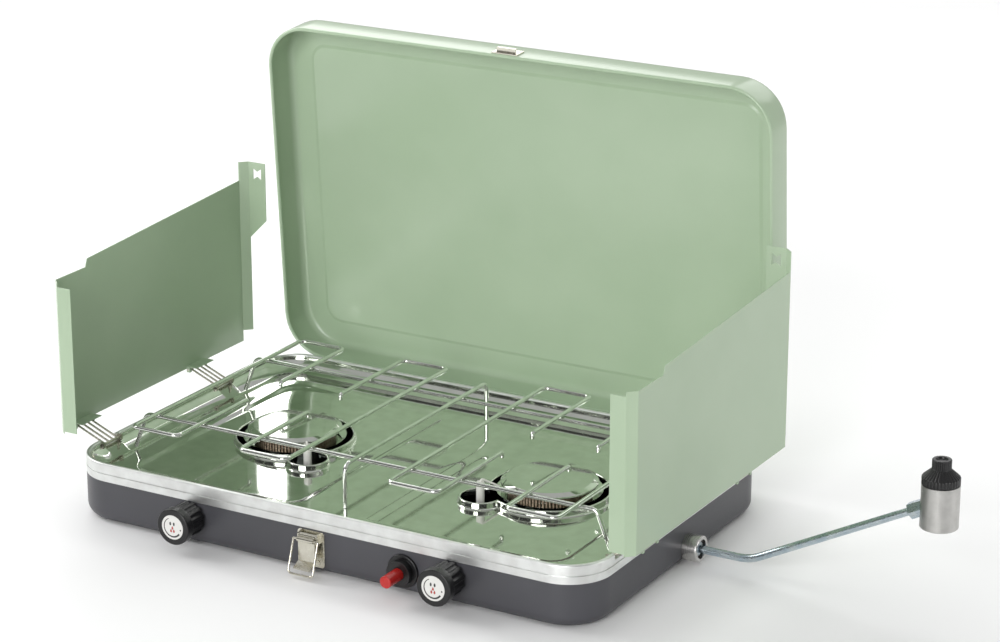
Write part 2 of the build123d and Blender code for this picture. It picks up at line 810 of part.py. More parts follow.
def strip_outline(points, thickness):
    """The outline of a bent sheet seen along its bends, from its middle line."""
    half = thickness / 2
    left = []
    right = []
    count = len(points)
    for n, (px, py) in enumerate(points):
        before = points[max(n - 1, 0)]
        after = points[min(n + 1, count - 1)]
        d1 = Vector(px - before[0], py - before[1])
        d2 = Vector(after[0] - px, after[1] - py)
        d1 = d1.normalized() if d1.length else d2.normalized()
        d2 = d2.normalized() if d2.length else d1
        n1 = Vector(-d1.Y, d1.X)
        n2 = Vector(-d2.Y, d2.X)
        middle = (n1 + n2).normalized()
        reach = half / middle.dot(n1)
        left.append((px + middle.X * reach, py + middle.Y * reach))
        right.append((px - middle.X * reach, py - middle.Y * reach))
    return make_face(Polyline(*left, *reversed(right), close=True))


def side_screen():
    """Right-hand screen: a panel with bent front and rear edges, a tab and lugs for the links."""
    x = screen_x
    bend = screen_bend
    outline = strip_outline([
        (flange_end_x, screen_front - bend), (x - bend, screen_front - bend), (x, screen_front),
        (x, screen_rear), (x - bend, screen_rear + bend), (tab_end_x, screen_rear + bend),
    ], screen_sheet)
    sheet_all = extrude(Pos(0, 0, screen_bottom) * outline, rear_strip_top - screen_bottom)
    panel_keep = make_face(Polyline(
        (0, screen_front, screen_bottom), (0, screen_rear, screen_bottom),
        (0, screen_rear, screen_rear_top),
        (0, screen_step_y, screen_step_top), (0, screen_step_y - screen_step_run, screen_front_top),
        (0, screen_front, screen_front_top), close=True))
    panel = extrude(panel_keep, x + 1, dir=(1, 0, 0))
    front = screen_front - bend - 1
    rear = screen_rear + bend + 1
    strip_inside = x - bend - screen_sheet / 2
    front_strip = cuboid((strip_inside, front, screen_bottom), (x + 1, screen_front, screen_front_top))
    front_flange = cuboid((0, front, flange_bottom), (x - bend, front + 2, flange_top))
    rear_strip = cuboid((strip_inside, screen_rear, rear_strip_bottom), (x + 1, rear, rear_strip_top))
    tab_keep = make_face(Polyline(
        (x - bend, 0, tab_bottom - tab_chamfer), (x - bend, 0, rear_strip_top),
        (tab_end_x - 1, 0, rear_strip_top),
        (tab_end_x - 1, 0, tab_bottom), (tab_end_x, 0, tab_bottom), close=True))
    tab = Pos(0, screen_rear + bend - 1, 0) * extrude(tab_keep, 2, dir=(0, 1, 0))
    screen = (sheet_all & panel) + (sheet_all & front_strip) + (sheet_all & front_flange)
    screen = screen + (sheet_all & rear_strip) + (sheet_all & tab)
    hx = tab_hole_width / 2
    hz = tab_hole_height / 2
    waist = tab_hole_waist / 2
    bow = make_face(Polyline(
        (-hx, 0, -hz), (0, 0, -waist), (hx, 0, -hz), (hx, 0, hz), (0, 0, waist), (-hx, 0, hz), close=True))
    screen -= Pos(tab_hole_x, screen_rear + bend - 5, tab_hole_z) * extrude(bow, 10, dir=(0, 1, 0))
    inner_face = x - screen_sheet / 2
    for y in (link_front_y, link_rear_y):
        for way in (-1, 1):
            y_out = y + way * link_half_width
            y_in = y_out - way * knuckle_length
            low = (link_outer_x - knuckle_radius, min(y_out, y_in), link_outer_z - knuckle_radius)
            screen += cuboid(low, (inner_face, max(y_out, y_in), tongue_z))
        half = link_half_width
        tongue = (inner_face - tongue_length, y - half, tongue_z)
        screen += cuboid(tongue, (inner_face, y + half, tongue_z + screen_sheet))
        bore = link_wire_radius + link_clearance
        start = (link_outer_x, y - half - 1, link_outer_z)
        screen -= rod(start, (link_outer_x, y + half + 1, link_outer_z), bore)
    return screen


def wire_links():
    """Right-hand pair of links: two cross bars joined by parallel wires."""
    pair = []
    for y in (link_front_y, link_rear_y):
        half = link_half_width
        inner = (link_inner_x, link_inner_z)
        outer = (link_outer_x, link_outer_z)
        link = rod((inner[0], y - half, inner[1]), (inner[0], y + half, inner[1]), link_wire_radius)
        link += rod((outer[0], y - half, outer[1]), (outer[0], y + half, outer[1]), link_wire_radius)
        for n in range(link_legs):
            leg_y = y + (n - (link_legs - 1) / 2) * link_leg_pitch
            link += rod((inner[0], leg_y, inner[1]), (outer[0], leg_y, outer[1]), link_leg_radius)
        pair.append(link)
    return pair


def link_brackets():
    """Right-hand blocks in the rim that hold the inner bars of the links."""
    blocks = []
    for y in (link_front_y, link_rear_y):
        for way in (-1, 1):
            y_out = y + way * link_half_width
            y_in = y_out - way * knuckle_length
            low = (link_inner_x - knuckle_radius, min(y_out, y_in), slot_floor)
            high = (link_inner_x + knuckle_radius, max(y_out, y_in), link_inner_z + knuckle_radius)
            axle = rod((link_inner_x, low[1] - 1, link_inner_z), (link_inner_x, high[1] + 1, link_inner_z),
                       link_wire_radius + link_clearance)
            blocks.append(cuboid(low, high) - axle)
    return blocks


def pan_wire(wire_x, finger_x):
    """One grate wire: a full length with both ends turned back as fingers that hook down."""
    z = grate_z
    end = pan_wire_end_y
    tip = finger_tip_y
    points = [
        (finger_x, -tip, z - finger_hook), (finger_x, -tip, z), (finger_x, -end, z), (wire_x, -end, z),
        (wire_x, end, z), (finger_x, end, z), (finger_x, tip, z), (finger_x, tip, z - finger_hook),
    ]
    radii = [finger_bend] + [wire_bend] * 4 + [finger_bend]
    path = FilletPolyline(*points, radius=radii)
    start = Plane(origin=path @ 0, z_dir=path % 0)
    return sweep(start * Circle(grate_wire_radius), path)


def centre_wire():
    """Middle wire of the grate, with a leg at each end that stands on the tray."""
    foot = tray_floor_top + grate_foot_gap
    x = centre_wire_x
    y = centre_wire_y
    points = [(x, -y, foot), (x, -y, grate_z), (x, y, grate_z), (x, y, foot)]
    return bent_rod(points, centre_wire_bend, grate_wire_radius)


def grate_rail(y):
    """Cross wire under the pan wires, with ends that slope down to the tray."""
    z = grate_z - 2 * grate_wire_radius
    foot = tray_floor_top + grate_wire_radius + grate_foot_gap
    points = [
        (-rail_end_x, y, foot), (-rail_knee_x, y, z), (rail_knee_x, y, z), (rail_end_x, y, foot),
    ]
    return bent_rod(points, rail_bend, grate_wire_radius)


def lever_axle(half, radius):
    """A bar on the lever's pivot axis, half its length each side of the latch."""
    start = (latch_x - half, lever_pivot_y, lever_pivot_z)
    return rod(start, (latch_x + half, lever_pivot_y, lever_pivot_z), radius)


def bail_axle(half, radius):
    """A bar on the bail's pivot axis."""
    start = (latch_x - half, bail_pivot_y, bail_pivot_z)
    return rod(start, (latch_x + half, bail_pivot_y, bail_pivot_z), radius)


def latch_plate():
    """Plate on the front of the case, with two ears for the lever's pin."""
    half = latch_width / 2
    y = front_face
    plate = cuboid((latch_x - half, y - latch_sheet, latch_bottom), (latch_x + half, y, latch_top))
    plate = fillet(plate.edges().filter_by(Axis.Y), latch_corner)
    for way in (-1, 1):
        x_out = latch_x + way * (half - ear_inset)
        x_in = x_out - way * latch_sheet
        low = (min(x_out, x_in), y - ear_reach, ear_bottom)
        ear = cuboid(low, (max(x_out, x_in), y - latch_sheet, ear_top))
        upper_front = ear.edges().filter_by(Axis.X).group_by(Axis.Y)[0].sort_by(Axis.Z)[-1]
        plate += fillet(upper_front, ear_fillet)
    return plate - lever_axle(half, latch_pin_radius + latch_clearance)


def latch_pin():
    """Pin through the ears and the lever."""
    return lever_axle(latch_width / 2 - ear_inset, latch_pin_radius)


def latch_rivets():
    """Two rivet heads that hold the plate to the case."""
    z = latch_bottom + latch_rivet_rise
    y = front_face - latch_sheet
    return [rivet_head_at(latch_x + way * latch_width / 4, y, z, -1) for way in (-1, 1)]


def latch_lever():
    """Lever between the ears: a barrel on the pin, a plate, a lip, and a barrel for the bail."""
    half = latch_width / 2 - ear_inset - latch_sheet - lever_side_gap
    low = latch_x - half
    t = latch_sheet
    face_y = bail_pivot_y + bail_barrel_radius
    lever = lever_axle(half, lever_barrel_radius) + bail_axle(half, bail_barrel_radius)
    head = lever_pivot_z + 1
    lip_z = lever_bottom - lever_lip / 2
    side = make_face(Polyline(
        (low, face_y, head), (low, face_y - t, head), (low, face_y - t, lever_bottom),
        (low, face_y - t - lever_lip, lip_z), (low, face_y - lever_lip, lip_z - t),
        (low, face_y, lever_bottom - t / 2), close=True))
    lever += extrude(side, 2 * half, dir=(1, 0, 0))
    lever -= lever_axle(half + 1, latch_pin_radius + latch_clearance)
    return lever - bail_axle(half + 1, bail_wire_radius + latch_clearance)


def latch_bail():
    """Wire loop that hangs from the lever and hooks over the keeper."""
    half = bail_width / 2
    low = latch_x - half
    high = latch_x + half
    loop = bent_rod([
        (low, bail_pivot_y, bail_pivot_z), (low, bail_end_y, bail_end_z),
        (high, bail_end_y, bail_end_z), (high, bail_pivot_y, bail_pivot_z),
    ], bail_bend, bail_wire_radius)
    return loop + bail_axle(half, bail_wire_radius)


def latch_keeper():
    """Hooked plate on the lid's front wall that the bail catches."""
    half = latch_width / 2
    wall = -lid_depth / 2
    top = keeper_bottom + keeper_height
    plate = cuboid((latch_x - half, wall - latch_sheet, keeper_bottom), (latch_x + half, wall, top))
    shelf_z = keeper_bottom + keeper_height / 4
    out = wall - keeper_hook
    inner = half - ear_inset
    shelf_top = shelf_z + latch_sheet
    hook = cuboid((latch_x - inner, out, shelf_z), (latch_x + inner, wall - latch_sheet, shelf_top))
    lip_top = shelf_z + keeper_lip
    hook += cuboid((latch_x - inner, out, shelf_z), (latch_x + inner, out + latch_sheet, lip_top))
    return opened(plate + hook)


os.makedirs("parts", exist_ok=True)

save("bottom_case", bottom_case())
save("rim_trim", rim_trim())
save("drip_tray", drip_tray())
save("burner_supports", burner_support(-1), burner_support(1))
save("electrode_brackets", electrode_bracket(-1), electrode_bracket(1))
save("gas_manifold", gas_manifold())
save("inlet_socket", inlet_socket())
save("igniter_bezel", igniter_bezel())
save("igniter_body", igniter_body())
save("igniter_button", igniter_button())
save("ignition_leads", *ignition_leads())
save("base_hinge_leaves", base_leaf(-1), base_leaf(1))
save("hinge_pins", hinge_pin(-1), hinge_pin(1))
save("base_rivets", *base_rivets())
for side, name, knob_x in ((-1, "left", left_knob_x), (1, "right", right_knob_x)):
    save(f"{name}_burner_bowl", burner_bowl(side))
    save(f"{name}_burner_cap", burner_cap(side))
    save(f"{name}_mixing_tube", mixing_tube(side))
    save(f"{name}_electrode", electrode(side))
    save(f"{name}_valve", valve(knob_x))
    save(f"{name}_valve_stem", valve_stem(knob_x))
    save(f"{name}_knob", knob(knob_x))
    save(f"{name}_knob_dial", knob_dial(knob_x))

save("supply_pipe", supply_pipe())
save("pipe_ring", pipe_ring())
save("pipe_nut", pipe_nut())
save("regulator_body", regulator_body())
save("regulator_cap", regulator_cap())
save("cylinder_seal", cylinder_seal())

save("lid_shell", lid_shell())
save("lid_hinge_leaves", lid_leaf(-1), lid_leaf(1))
save("lid_rivets", *lid_rivets())
save("latch_keeper", latch_keeper())

save("latch_plate", latch_plate())
save("latch_pin", latch_pin())
save("latch_rivets", *latch_rivets())
save("latch_lever", latch_lever())
save("latch_bail", latch_bail())

right_screen = side_screen()
save("right_screen", right_screen)
save("left_screen", mirrored(right_screen))
right_links = wire_links()
save("right_links", *right_links)
save("left_links", *[mirrored(link) for link in right_links])
brackets = link_brackets()
save("right_link_brackets", *brackets)
save("left_link_brackets", *[mirrored(block) for block in brackets])

save("grate_front_rail", grate_rail(front_rail_y))
save("grate_rear_rail", grate_rail(rear_rail_y))
save("grate_centre_wire", centre_wire())
save("left_outer_pan_wire", pan_wire(-outer_wire_x, -outer_finger_x))
save("left_inner_pan_wire", pan_wire(-inner_wire_x, -inner_finger_x))
save("right_inner_pan_wire", pan_wire(inner_wire_x, inner_finger_x))
save("right_outer_pan_wire", pan_wire(outer_wire_x, outer_finger_x))
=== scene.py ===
import json
import bmesh
import bpy
import numpy as np
from math import pi, radians
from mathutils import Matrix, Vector
from mathutils.geometry import delaunay_2d_cdt


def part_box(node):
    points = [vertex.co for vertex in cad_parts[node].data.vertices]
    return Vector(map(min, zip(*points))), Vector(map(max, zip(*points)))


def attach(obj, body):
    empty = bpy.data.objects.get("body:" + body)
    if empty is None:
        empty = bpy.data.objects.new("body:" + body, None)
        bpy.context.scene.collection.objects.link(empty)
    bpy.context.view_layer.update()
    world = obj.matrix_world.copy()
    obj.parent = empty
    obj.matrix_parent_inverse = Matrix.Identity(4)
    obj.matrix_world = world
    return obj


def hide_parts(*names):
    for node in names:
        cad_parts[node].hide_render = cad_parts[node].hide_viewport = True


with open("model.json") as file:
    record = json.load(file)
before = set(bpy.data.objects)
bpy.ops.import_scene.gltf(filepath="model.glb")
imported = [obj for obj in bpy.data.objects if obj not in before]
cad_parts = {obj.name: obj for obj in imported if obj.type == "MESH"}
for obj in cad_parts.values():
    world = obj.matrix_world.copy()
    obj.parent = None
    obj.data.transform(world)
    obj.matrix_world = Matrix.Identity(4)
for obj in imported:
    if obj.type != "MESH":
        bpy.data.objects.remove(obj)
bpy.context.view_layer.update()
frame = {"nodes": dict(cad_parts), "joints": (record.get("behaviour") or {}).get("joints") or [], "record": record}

nodes = frame["nodes"]
mm = 0.001
bodies = frame["record"]["behaviour"]["bodies"]
bodyOf = {name: body for body, members in bodies.items() for name in members}
slotOf = {row["node"]: row["material_slot"] for row in frame["record"]["subparts"]}
print("stage: frame loaded,", len(nodes), "nodes")


# camera, floor and light

camera = {
    "place": (1.3337, -2.1681, 1.0323),
    "turn": (71.465, 0.0, 29.963),       # degrees
    "lens": 108.75,                      # mm on a 36 mm sensor
}
lens = bpy.data.cameras.new("viewCamera")
lens.lens = camera["lens"]
lens.sensor_width = 36.0
lens.clip_end = 50.0
viewer = bpy.data.objects.new("viewCamera", lens)
viewer.location = camera["place"]
viewer.rotation_euler = [radians(a) for a in camera["turn"]]
bpy.context.scene.collection.objects.link(viewer)
bpy.context.scene.camera = viewer
bpy.context.scene.view_settings.view_transform = "Standard"

studio = {
    "sky": 0.50,                         # strength of the white surround, overhead and at the back
    "skyFront": 0.06,                    # what is left of it towards the front
    "skyWay": (0.0, 0.5, 0.866),         # the middle of its bright part
    "skyEdge": (0.05, 0.4),              # cosines from that way between which it dims
    "suns": [
        # name, where it shines from, softness in radians, strength
        ("leftRearSun", (-1.6, 1.6, 1.6), 0.6, 0.8),
        ("frontSun", (0.2, -2.6, 0.9), 0.6, 2.0),
    ],
    "lamps": [
        # name, place, size in metres, power in watts
        ("leftLamp", (-2.3, -0.3, 1.5), 1.2, 30.0),
        ("rearLamp", (0.3, 1.9, 1.9), 1.6, 16.0),
        ("lowRightLamp", (2.6, 0.6, 0.4), 0.9, 10.0),
    ],
    "aim": (0.0, 0.0, 0.15),
    "floorHalf": 8.0,
    "floorColour": "#fbfbfb",
}


def linear(hexColour):
    # sRGB to linear: a power curve above a short straight start
    raw = np.array([int(hexColour[i:i + 2], 16) for i in (1, 3, 5)]) / 255.0
    flat = np.where(raw <= 0.04045, raw / 12.92, ((raw + 0.055) / 1.055) ** 2.4)
    return (*flat.tolist(), 1.0)


def addNode(tree, kind, settings=None, **sockets):
    # one node; a socket takes a value, or another node's output as a link
    node = tree.nodes.new("ShaderNode" + kind)
    for name, value in (settings or {}).items():
        setattr(node, name, value)
    for name, value in sockets.items():
        socket = node.inputs[int(name[1:])] if name[1:].isdigit() else node.inputs[name.replace("_", " ")]
        if isinstance(value, bpy.types.NodeSocket):
            tree.links.new(value, socket)
        else:
            socket.default_value = value
    return node


def startMaterial(name, colour, metallic, roughness, **constants):
    # a Principled shader with its even values set on its own sockets
    material = bpy.data.materials.new(name)
    material.use_nodes = True
    tree = material.node_tree
    shader = tree.nodes["Principled BSDF"]
    shader.inputs["Base Color"].default_value = linear(colour)
    shader.inputs["Metallic"].default_value = metallic
    shader.inputs["Roughness"].default_value = roughness
    for key, value in constants.items():
        shader.inputs[key.replace("_", " ")].default_value = value
    place = addNode(tree, "TexCoord").outputs["Object"]
    return material, tree, shader, place


patternEnds = (0.35, 0.65)               # the part of a noise's range that a finish uses


def layered(name, colours, metallic, gloss, layers, tint=None, sheen=None, relief=(), **constants):
    # layers of noise, each (size in mm, detail, stretch by axis): one varies the colour, one the gloss,
    # and each layer in relief raises a bump of so many millimetres
    material, tree, shader, place = startMaterial(name, colours[0], metallic, gloss[0], **constants)
    pattern = {}
    for layer, (size, detail, stretch) in layers.items():
        scale = tuple(1.0 / (size * mm * s) for s in stretch)
        mapped = addNode(tree, "Mapping", Vector=place, Scale=scale).outputs["Vector"]
        pattern[layer] = addNode(tree, "TexNoise", Vector=mapped, Scale=1.0, Detail=detail).outputs["Fac"]
    low, high = patternEnds
    if tint:
        part = addNode(tree, "MapRange", i0=pattern[tint], i1=low, i2=high, i3=0.0, i4=1.0).outputs[0]
        first, second = linear(colours[0]), linear(colours[1])
        mix = addNode(tree, "Mix", {"data_type": "RGBA"}, i0=part, i6=first, i7=second)
        tree.links.new(mix.outputs[2], shader.inputs["Base Color"])
    spread = addNode(tree, "MapRange", i0=pattern[sheen], i1=low, i2=high, i3=gloss[0], i4=gloss[1])
    tree.links.new(spread.outputs[0], shader.inputs["Roughness"])
    normal = {}
    for layer, depth in relief:
        bump = addNode(tree, "Bump", Height=pattern[layer], Strength=1.0, Distance=depth * mm, **normal)
        normal = {"Normal": bump.outputs["Normal"]}
    tree.links.new(normal["Normal"], shader.inputs["Normal"])
    return material


evenly = (1.0, 1.0, 1.0)


def enamel(name, colours, gloss, peel, fleck):
    # stove enamel, sprayed and baked on pressed steel: even colour, a soft gloss and faint orange peel
    layers = {"cloud": (90.0, 2.0, evenly), "fleck": (fleck, 4.0, evenly), "peel": (6.0, 1.0, evenly)}
    relief = [("peel", peel), ("fleck", peel * 0.4)]
    return layered(name, colours, 0.0, gloss, layers, "cloud", "fleck", relief, IOR=1.5)


def plated(name, colours, gloss, wave, scratch, run=evenly, mottle=14.0):
    # bright metal: a mirror with slow waves from pressing or drawing, and hairline scratches along one way
    layers = {"mottle": (mottle, 3.0, evenly), "scratch": (0.5, 2.0, run), "wave": (45.0, 1.0, evenly)}
    relief = [("wave", wave), ("scratch", scratch)]
    return layered(name, colours, 1.0, gloss, layers, "mottle", "scratch", relief)


def moulded(name, colour, roughness, texture, size, **constants):
    # moulded plastic or rubber: a fine spark-eroded texture, a little duller in its hollows
    gloss = (roughness * 0.8, roughness * 1.2)
    layers = {"cells": (size, 3.0, evenly)}
    return layered(name, (colour,), 0.0, gloss, layers, None, "cells", [("cells", texture)], **constants)


def spangled(name, colours, gloss, size):
    # hot-dip zinc on strip: flat crystals, each a slightly different grey
    material, tree, shader, place = startMaterial(name, colours[0], 1.0, gloss[0])
    mapped = addNode(tree, "Mapping", Vector=place, Scale=(1.0 / (size * mm),) * 3).outputs["Vector"]
    crystals = addNode(tree, "TexVoronoi", Vector=mapped, Scale=1.0)
    shade = addNode(tree, "SeparateColor", Color=crystals.outputs["Color"]).outputs[0]
    first, second = linear(colours[0]), linear(colours[1])
    mix = addNode(tree, "Mix", {"data_type": "RGBA"}, i0=shade, i6=first, i7=second)
    tree.links.new(mix.outputs[2], shader.inputs["Base Color"])
    spread = addNode(tree, "MapRange", i0=shade, i3=gloss[0], i4=gloss[1])
    tree.links.new(spread.outputs[0], shader.inputs["Roughness"])
    return material


materials = {
    "sage_enamel": enamel("sageEnamel", ("#a6ba9e", "#abbea3"), (0.16, 0.24), 0.012, 0.8),
    "charcoal_enamel": enamel("charcoalEnamel", ("#424246", "#46464b"), (0.32, 0.44), 0.02, 0.6),
    "chrome_trim": plated("chromeTrim", ("#dcdddb", "#e8eae8"),
        (0.36, 0.46), 0.08, 0.002, (60.0, 60.0, 1.0)),
    "polished_steel": plated("polishedSteel", ("#d2d6ce", "#dcdfd8"),
        (0.04, 0.09), 0.05, 0.0015, (30.0, 1.0, 1.0)),
    "chromed_wire": plated("chromedWire", ("#d5d9d2", "#e2e5df"),
        (0.08, 0.16), 0.01, 0.002, (1.0, 14.0, 1.0)),
    "nickel_plate": plated("nickelPlate", ("#d8d4c6", "#e2dfd2"),
        (0.16, 0.28), 0.01, 0.003, (1.0, 1.0, 6.0), 5.0),
    "zinc_plate": plated("zincPlate", ("#aebcc6", "#c3ccd0"),
        (0.22, 0.34), 0.01, 0.002, (14.0, 1.0, 1.0), 9.0),
    "link_wire": plated("springWire", ("#a9a59a", "#c2beb2"),
        (0.2, 0.34), 0.01, 0.002, (10.0, 1.0, 1.0), 4.0),
    "satin_aluminium": plated("turnedAluminium", ("#b4b3b0", "#bfbebb"),
        (0.3, 0.42), 0.004, 0.004, (40.0, 40.0, 0.5), 8.0),
    "socket_steel": plated("turnedSteel", ("#c9c7c5", "#d6d4d2"),
        (0.2, 0.32), 0.004, 0.004, (0.5, 40.0, 40.0), 8.0),
    "brass": plated("machinedBrass", ("#c9a45a", "#d4b26c"),
        (0.2, 0.34), 0.004, 0.003, (1.0, 20.0, 1.0), 6.0),
    "galvanised_steel": spangled("galvanisedStrip", ("#9ea2a4", "#bcc0c2"), (0.32, 0.5), 5.0),
    "black_plastic": moulded("blackNylon", "#0b0b0c", 0.32, 0.02, 0.5, IOR=1.53),
    "red_plastic": moulded("redAbs", "#b3201c", 0.26, 0.004, 0.8, IOR=1.54),
    "white_dial": moulded("printedDial", "#dcdbd7", 0.36, 0.003, 0.7, IOR=1.5),
    "ceramic": moulded("glazedCeramic", "#efeee9", 0.16, 0.01, 2.5, IOR=1.52),
    "rubber": moulded("blackRubber", "#1c1c1c", 0.7, 0.02, 0.4, IOR=1.52),
    "lead_jacket": moulded("siliconeJacket", "#dcd8cc", 0.5, 0.01, 0.6, IOR=1.43),
}
print("stage: materials,", len(materials))


def standIn(piece, node):
    # the piece takes the place, the body and the finish of a CAD node
    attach(piece, bodyOf[node])
    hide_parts(node)
    piece.data.materials.clear()
    piece.data.materials.append(materials[slotOf[node]])


def smoothMesh(mesh, angle):
    mesh.shade_smooth()
    mesh.set_sharp_from_angle(angle=radians(angle))


def softened(node, edge):
    # a copy of a CAD node with joined faces, broken edges and smooth curves
    mesh = nodes[node].data.copy()
    mesh.name = node + "Soft"
    mesh.materials.clear()
    work = bmesh.new()
    work.from_mesh(mesh)
    bmesh.ops.remove_doubles(work, verts=work.verts, dist=meshing["cadWeld"])
    flat = radians(meshing["flat"])
    bmesh.ops.dissolve_limit(work, angle_limit=flat, verts=work.verts, edges=work.edges)
    work.to_mesh(mesh)
    work.free()
    for layer in [a.name for a in mesh.attributes if a.name in ("custom_normal", "UVMap")]:
        mesh.attributes.remove(mesh.attributes[layer])
    smoothMesh(mesh, meshing["sharp"])
    piece = bpy.data.objects.new(node + "Soft", mesh)
    bpy.context.scene.collection.objects.link(piece)
    bevel = piece.modifiers.new("brokenEdges", "BEVEL")
    bevel.width = edge * mm
    bevel.segments = meshing["bevelSteps"]
    bevel.limit_method = "ANGLE"
    bevel.angle_limit = radians(meshing["sharp"])
    bevel.harden_normals = True
    standIn(piece, node)


brokenEdges = {
    # how far each piece's edges are broken, in millimetres
    "rim_trim": 0.5, "left_screen": 0.25, "right_screen": 0.25, "others": 0.15,
}
meshing = {
    "cadWeld": 1e-6, "weld": 2e-6,       # metres within which points are merged
    "flat": 0.5, "sharp": 32,            # degrees: flatter joins are dissolved, sharper edges stay sharp
    "bevelSteps": 2,
}


def filleted(points, radii, steps=6):
    # corners become arcs tangent to both runs: the arc's start, plus r sin(a) along the run,
    # plus r (1 - cos(a)) across it
    corners = np.array(points, float)
    path = [corners[:1]]
    for before, corner, after, radius in zip(corners, corners[1:], corners[2:], radii):
        into = (corner - before) / np.linalg.norm(corner - before)
        out = (after - corner) / np.linalg.norm(after - corner)
        turn = np.arccos(np.clip(into @ out, -1, 1))
        across = (out - (into @ out) * into) / np.sin(turn)
        start = corner - into * radius * np.tan(turn / 2)
        angle = np.linspace(0, turn, steps)[:, None]
        path.append(start + radius * (np.sin(angle) * into + (1 - np.cos(angle)) * across))
    return np.concatenate(path + [corners[-1:]])


def gridFaces(rows, columns, first=0):
    # four-sided faces between neighbouring rows and columns, the columns closing on themselves
    r, c = np.meshgrid(np.arange(rows - 1), np.arange(columns), indexing="ij")
    right = (c + 1) % columns
    corner = [r * columns + c, r * columns + right, (r + 1) * columns + right, (r + 1) * columns + c]
    return (np.stack(corner, -1).reshape(-1, 4) + first).tolist()


def makePiece(name, points, faces, material, angle=35):
    # points in millimetres; doubles are merged and the faces turned outwards
    mesh = bpy.data.meshes.new(name)
    mesh.from_pydata((np.asarray(points, float).reshape(-1, 3) * mm).tolist(), [], faces)
    work = bmesh.new()
    work.from_mesh(mesh)
    bmesh.ops.remove_doubles(work, verts=work.verts, dist=meshing["weld"])
    bmesh.ops.recalc_face_normals(work, faces=work.faces)
    work.to_mesh(mesh)
    work.free()
    smoothMesh(mesh, angle)
    mesh.materials.append(material)
    piece = bpy.data.objects.new(name, mesh)
    bpy.context.scene.collection.objects.link(piece)
    return piece


def addDetail(piece, body):
    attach(piece, body)


def roundedRing(halfX, halfY, radius, marks=(), steps=12):
    # one turn round a rounded rectangle: four quarter circles, each its centre plus r cos(a), r sin(a),
    # with extra points at y = marks on both ends
    angles = np.linspace(0, pi / 2, steps)
    sides = []
    for cx, cy, start in ((1, -1, -pi / 2), (1, 1, 0), (-1, 1, pi / 2), (-1, -1, pi)):
        a = angles + start
        centre = np.array([cx * (halfX - radius), cy * (halfY - radius)])
        sides.append(centre + radius * np.stack([np.cos(a), np.sin(a)], -1))
        if cy * cx < 0 and len(marks):
            order = np.sort(marks)[::cx]
            sides.append(np.stack([np.full(len(order), cx * halfX), order], -1))
    return np.concatenate(sides)


def pressedRings(profile, halfX, halfY, radius, marks=(), tightest=6.0):
    # a profile of (inset, height) carried round a rounded rectangle, whose corners tighten with the inset
    rings = []
    for inset, height in profile:
        corner = max(radius - inset, tightest)
        ring = roundedRing(halfX - inset, halfY - inset, corner, marks)
        rings.append(np.column_stack([ring, np.full(len(ring), height)]))
    return np.stack(rings)


def turnedRings(profile, centre, segments=96, ribs=0, rib=None):
    # (radius, height) carried once round a vertical axis; ribs swell rows by rib times a rounded wave
    angle = np.linspace(0, 2 * pi, segments, endpoint=False)
    radius = np.array(profile, float)[:, :1]
    if ribs:
        radius = radius + np.array(rib, float)[:, None] * np.abs(np.cos(ribs / 2 * angle)) ** 0.6
    height = np.repeat(np.array(profile, float)[:, 1:2], segments, 1)
    return np.stack([centre[0] + radius * np.cos(angle), centre[1] + radius * np.sin(angle), height], -1)


def openedLid(points):
    # the closed lid's points, turned back about the hinge line
    hinge = next(j for j in frame["joints"] if j["child"] == "lid")
    turn = -radians(hinge["range_deg"][1])
    y = points[..., 1] - hinge["pos_m"][1] / mm
    z = points[..., 2] - hinge["pos_m"][2] / mm
    turned = points.copy()
    turned[..., 1] = y * np.cos(turn) - z * np.sin(turn) + hinge["pos_m"][1] / mm
    turned[..., 2] = y * np.sin(turn) + z * np.cos(turn) + hinge["pos_m"][2] / mm
    return turned


# lid: a shallow pressing with a rolled hem and a flat panel set in by one step

lid = {
    "halfX": 265.0, "halfY": 169.5, "corner": 43.0, "rim": 57.3, "height": 37.0,
    "wall": 1.0, "edge": 8.0, "hem": 3.4, "hemRound": 1.65,
    "step": 26.0, "stepRun": 3.0, "stepDepth": 1.0, "centre": 60.0,
    "soft": 3.0, "crease": 0.6, "smooth": 40,
}


def lidProfile(v):
    # from the middle of the inside, down the inner wall, round the hem and back over the outside
    inside = v["height"] - v["wall"]
    panel = [v["step"] + v["stepRun"], v["step"]]
    points = [
        (v["centre"], inside - v["stepDepth"]), (panel[0], inside - v["stepDepth"]), (panel[1], inside),
        (v["wall"], inside), (v["wall"], v["hem"]), (v["hem"], v["hem"]), (v["hem"], 0), (0, 0),
        (0, v["height"]), (panel[1], v["height"]), (panel[0], v["height"] - v["stepDepth"]),
        (v["centre"], v["height"] - v["stepDepth"]),
    ]
    bend = v["edge"] - v["wall"]
    steps = [v["soft"]] * 2
    return filleted(points, [*steps, bend, v["crease"], *[v["hemRound"]] * 3, v["edge"], *steps])


rings = pressedRings(lidProfile(lid), lid["halfX"], lid["halfY"], lid["corner"])
rings[..., 2] += lid["rim"]
rows, columns = rings.shape[:2]
faces = gridFaces(rows, columns)
faces += [list(range(columns)), list(range((rows - 1) * columns, rows * columns))]
lidPiece = makePiece("lidPressing", openedLid(rings), faces, materials["sage_enamel"], lid["smooth"])
standIn(lidPiece, "lid_shell")
print("stage: lid")


# drip tray: sloping walls, two shallow wells and a rolled collar round each keyhole opening

